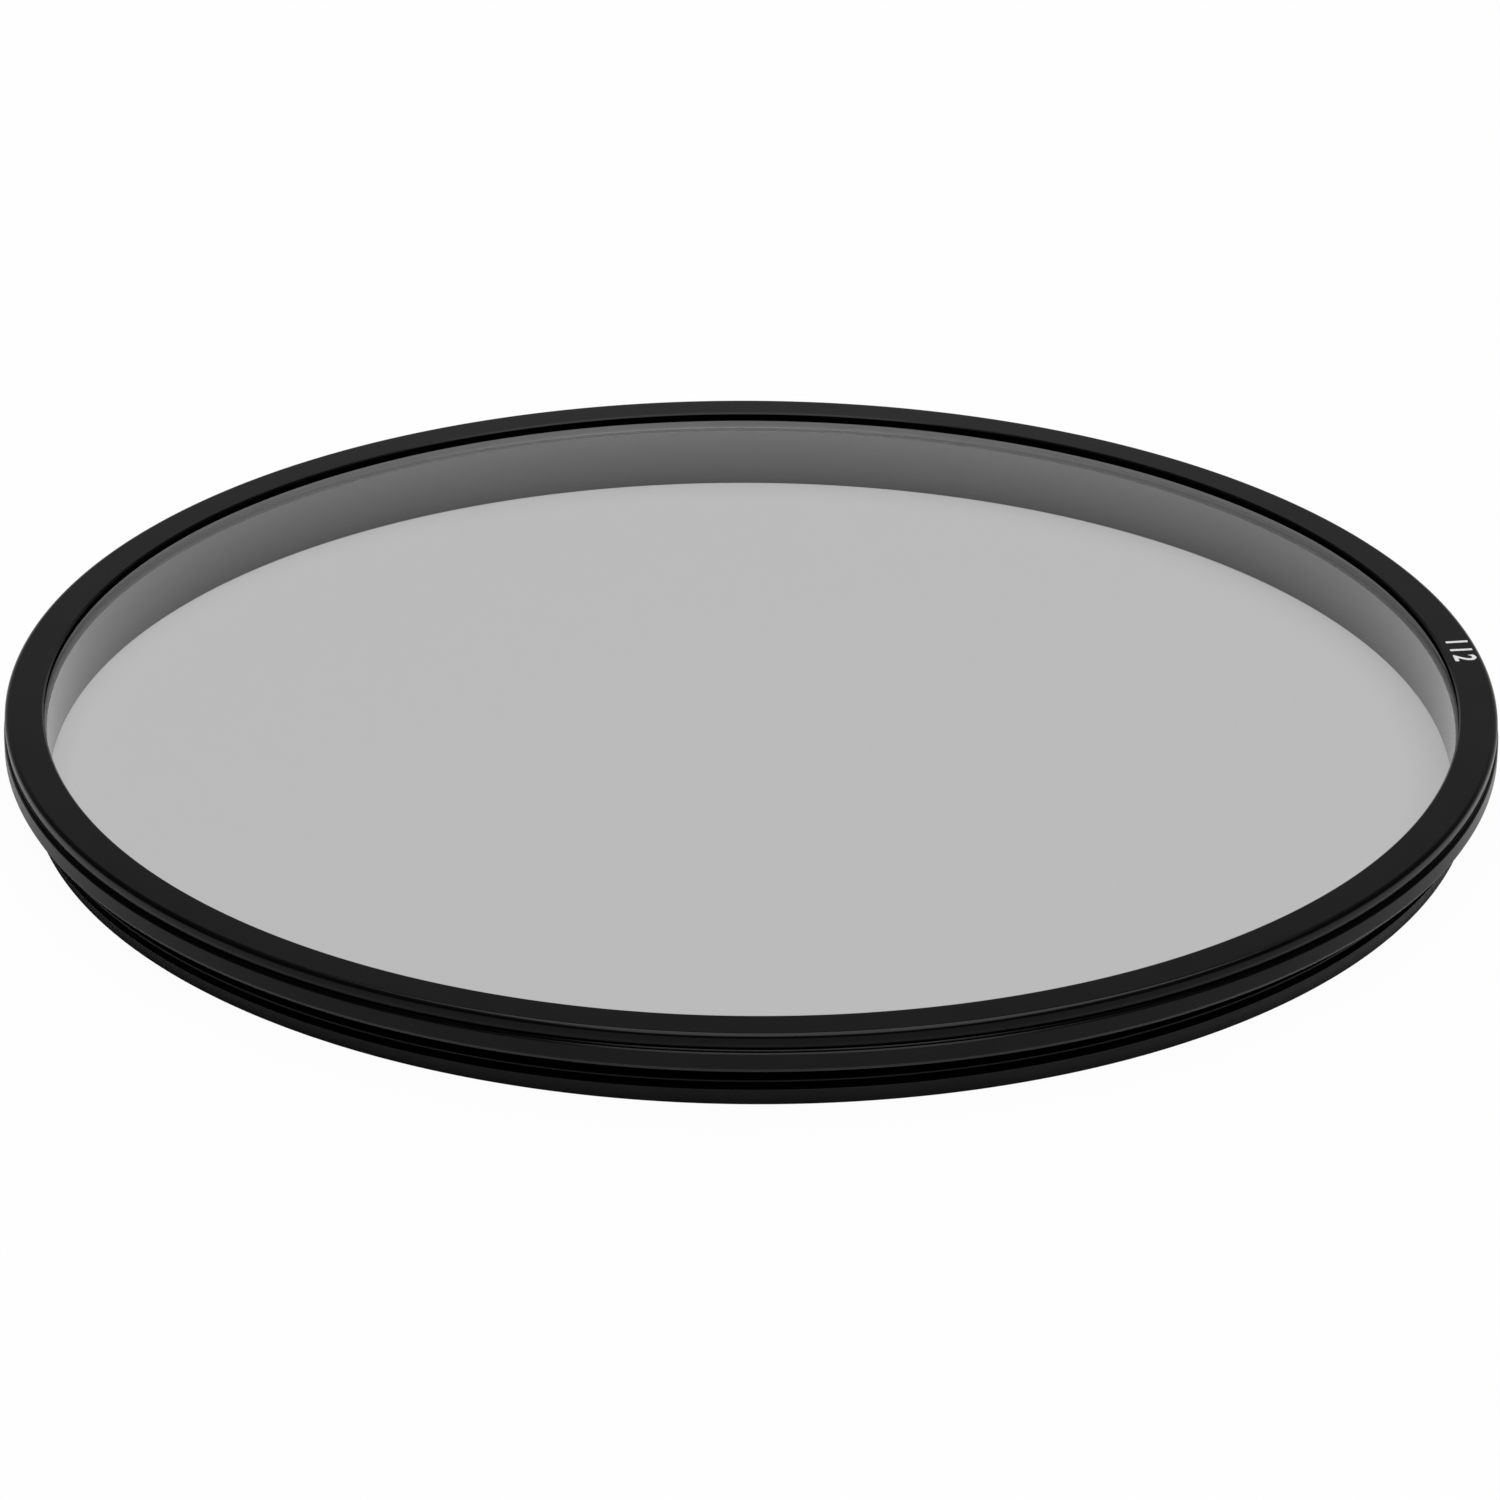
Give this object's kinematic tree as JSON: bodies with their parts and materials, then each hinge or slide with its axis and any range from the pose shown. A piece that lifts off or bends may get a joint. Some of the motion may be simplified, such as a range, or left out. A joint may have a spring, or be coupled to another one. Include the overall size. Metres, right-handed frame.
{
  "type": "circular nd filter",
  "caption": "Slim round neutral density filter: grey glass disc clamped in black turned rings, with a male thread at the rear that screws into a lens.",
  "frame": {"origin": "centre of the rear face, on the optical axis, where the filter stands when it lies thread down", "axes": "+Z along the optical axis, from the thread towards the front face; X and Y are free, as the rings are round"},
  "size_m": [0.1149, 0.1148, 0.0064],
  "materials": {
    "black_anodised": "satin black anodised",
    "black_anodised_front": "satin black anodised",
    "grey_glass": "polished, neutral grey, coated"
  },
  "bodies": {
    "root": {"frame_ring": "black_anodised", "front_ring": "black_anodised_front", "nd_glass": "grey_glass"}
  },
  "joints": []
}
